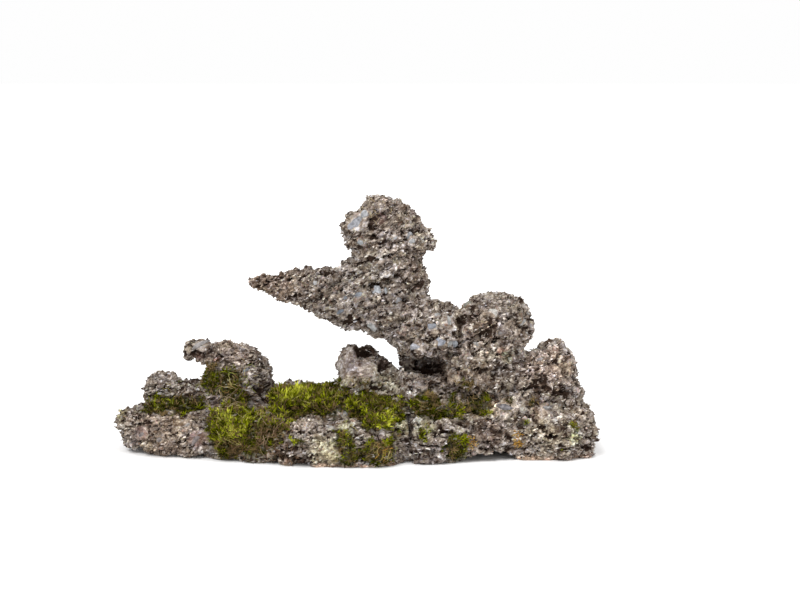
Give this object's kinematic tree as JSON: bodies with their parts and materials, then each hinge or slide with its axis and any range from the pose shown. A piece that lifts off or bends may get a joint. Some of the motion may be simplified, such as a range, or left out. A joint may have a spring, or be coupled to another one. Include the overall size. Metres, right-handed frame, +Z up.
{
  "type": "display rock",
  "caption": "Rough grey volcanic display rock: a low mossy base, a small hook at one end and a tall stone with a long beak-like overhang, sawn flat underneath.",
  "frame": {"origin": "middle of the footprint's bounding box, on the surface that the rock stands on", "axes": "+X along the rock, away from the beak's tip; +Y to the back, so that -Y is the front; +Z up"},
  "size_m": [0.602, 0.2009, 0.3193],
  "materials": {
    "rock": "rough, gritty, matt",
    "moss": "soft, matt"
  },
  "bodies": {
    "root": {"left_stone": "rock", "right_stone": "rock", "moss_groove": "moss", "moss_hook_foot": "moss", "moss_cascade": "moss", "moss_cascade_right": "moss", "moss_middle_left": "moss", "moss_middle_right": "moss", "moss_front_spot": "moss", "moss_front_foot": "moss", "moss_right_ledge": "moss", "moss_right_foot": "moss"}
  },
  "joints": []
}
